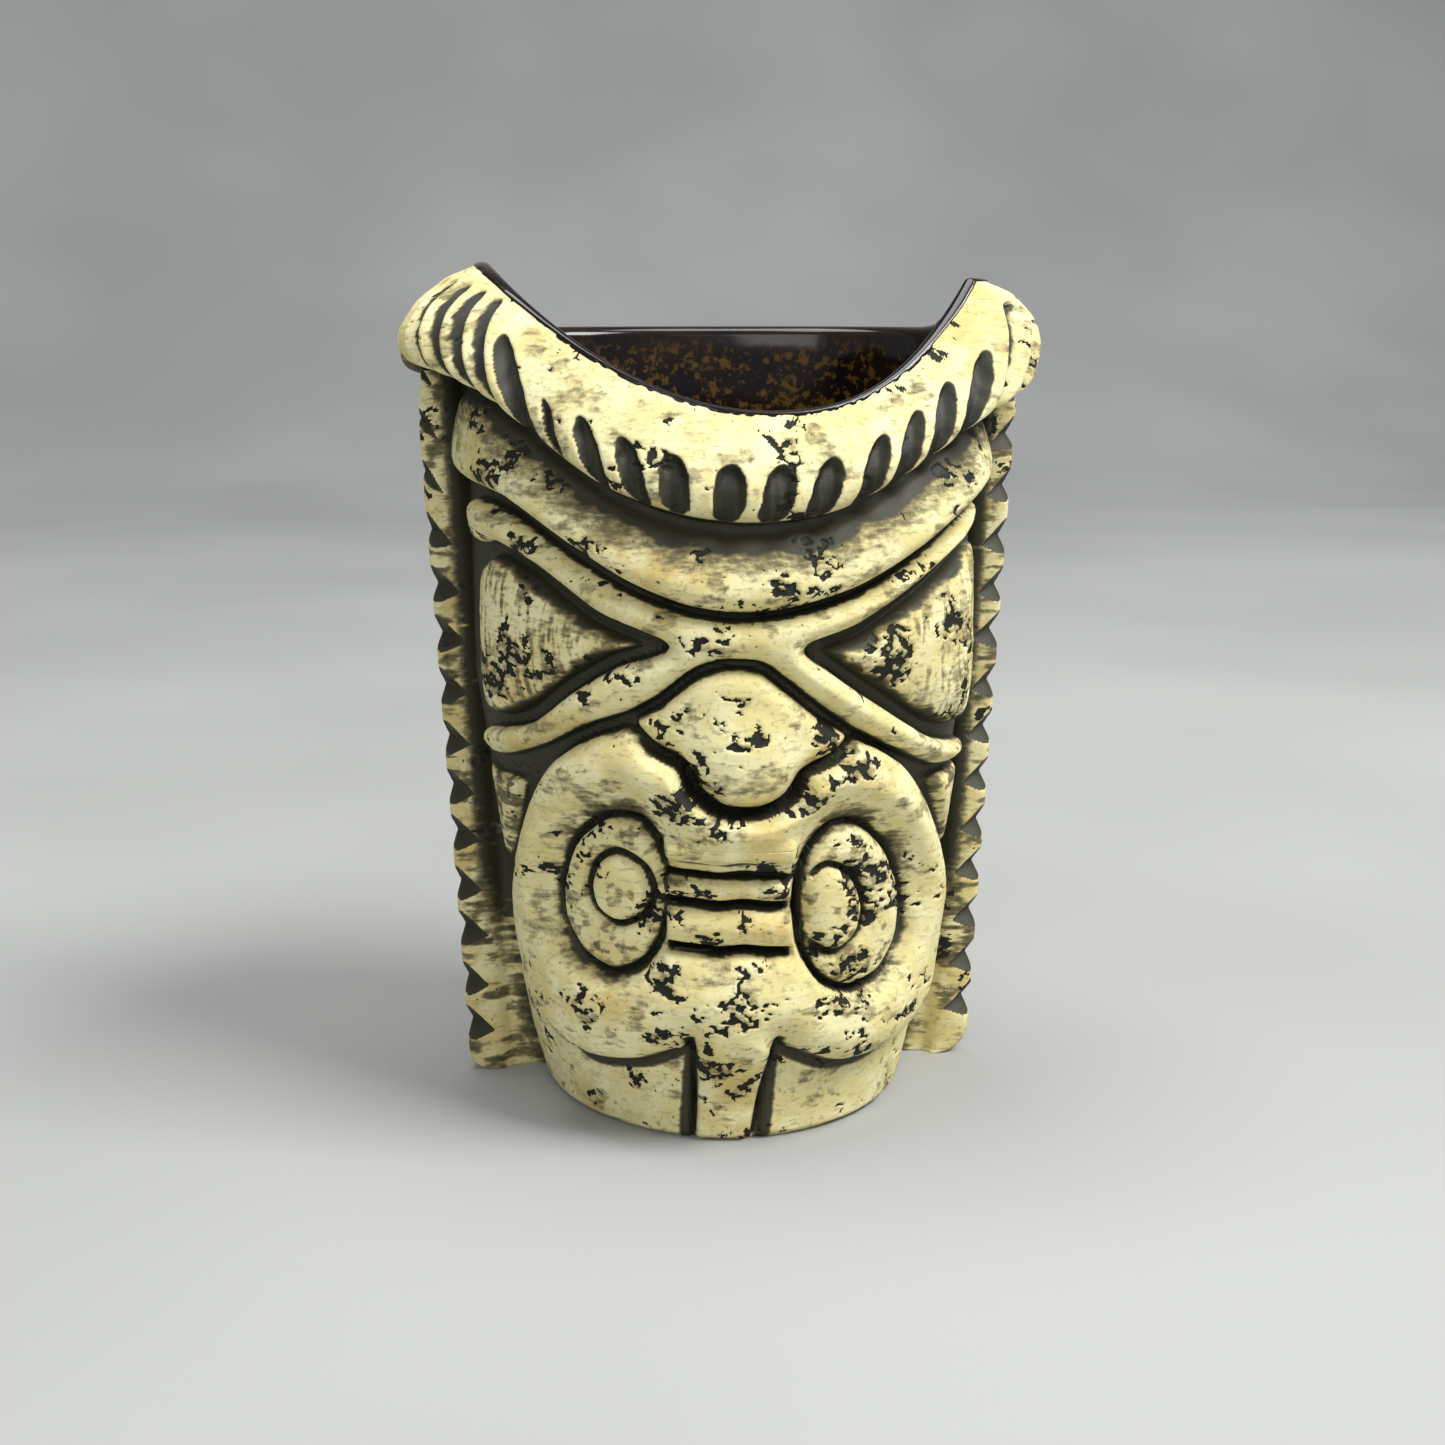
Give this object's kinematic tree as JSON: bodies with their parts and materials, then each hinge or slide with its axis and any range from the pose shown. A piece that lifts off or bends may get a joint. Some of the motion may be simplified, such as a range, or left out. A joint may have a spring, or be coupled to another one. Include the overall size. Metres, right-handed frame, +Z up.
{
  "type": "tiki mug",
  "caption": "Tall ceramic drinking mug with a carved mask face in relief, toothed corners, a notched crown on a dipped rim and a dark glazed inside.",
  "frame": {"origin": "middle of the mug's footprint, on the surface that it stands on", "axes": "+Z up through the mug, -Y out of the carved face, +X to the right as seen by someone facing it"},
  "size_m": [0.1196, 0.0909, 0.159],
  "materials": {
    "clay": "matt cream clay with a charcoal wash rubbed into its recesses",
    "glaze": "glossy black brown glaze with amber mottling"
  },
  "bodies": {
    "root": {"cup_body": "clay", "interior_glaze": "glaze", "left_tooth_strip": "clay", "right_tooth_strip": "clay", "crown": "clay", "forehead_roll": "clay", "crossed_brow_band": "clay", "left_eye": "clay", "right_eye": "clay", "nose": "clay", "muzzle": "clay", "left_mouth_ring": "clay", "right_mouth_ring": "clay", "left_ring_boss": "clay", "right_ring_boss": "clay", "upper_lip": "clay", "middle_lip": "clay", "lower_lip": "clay", "left_chin": "clay", "right_chin": "clay", "tongue": "clay", "left_cheek": "clay", "right_cheek": "clay"}
  },
  "joints": []
}
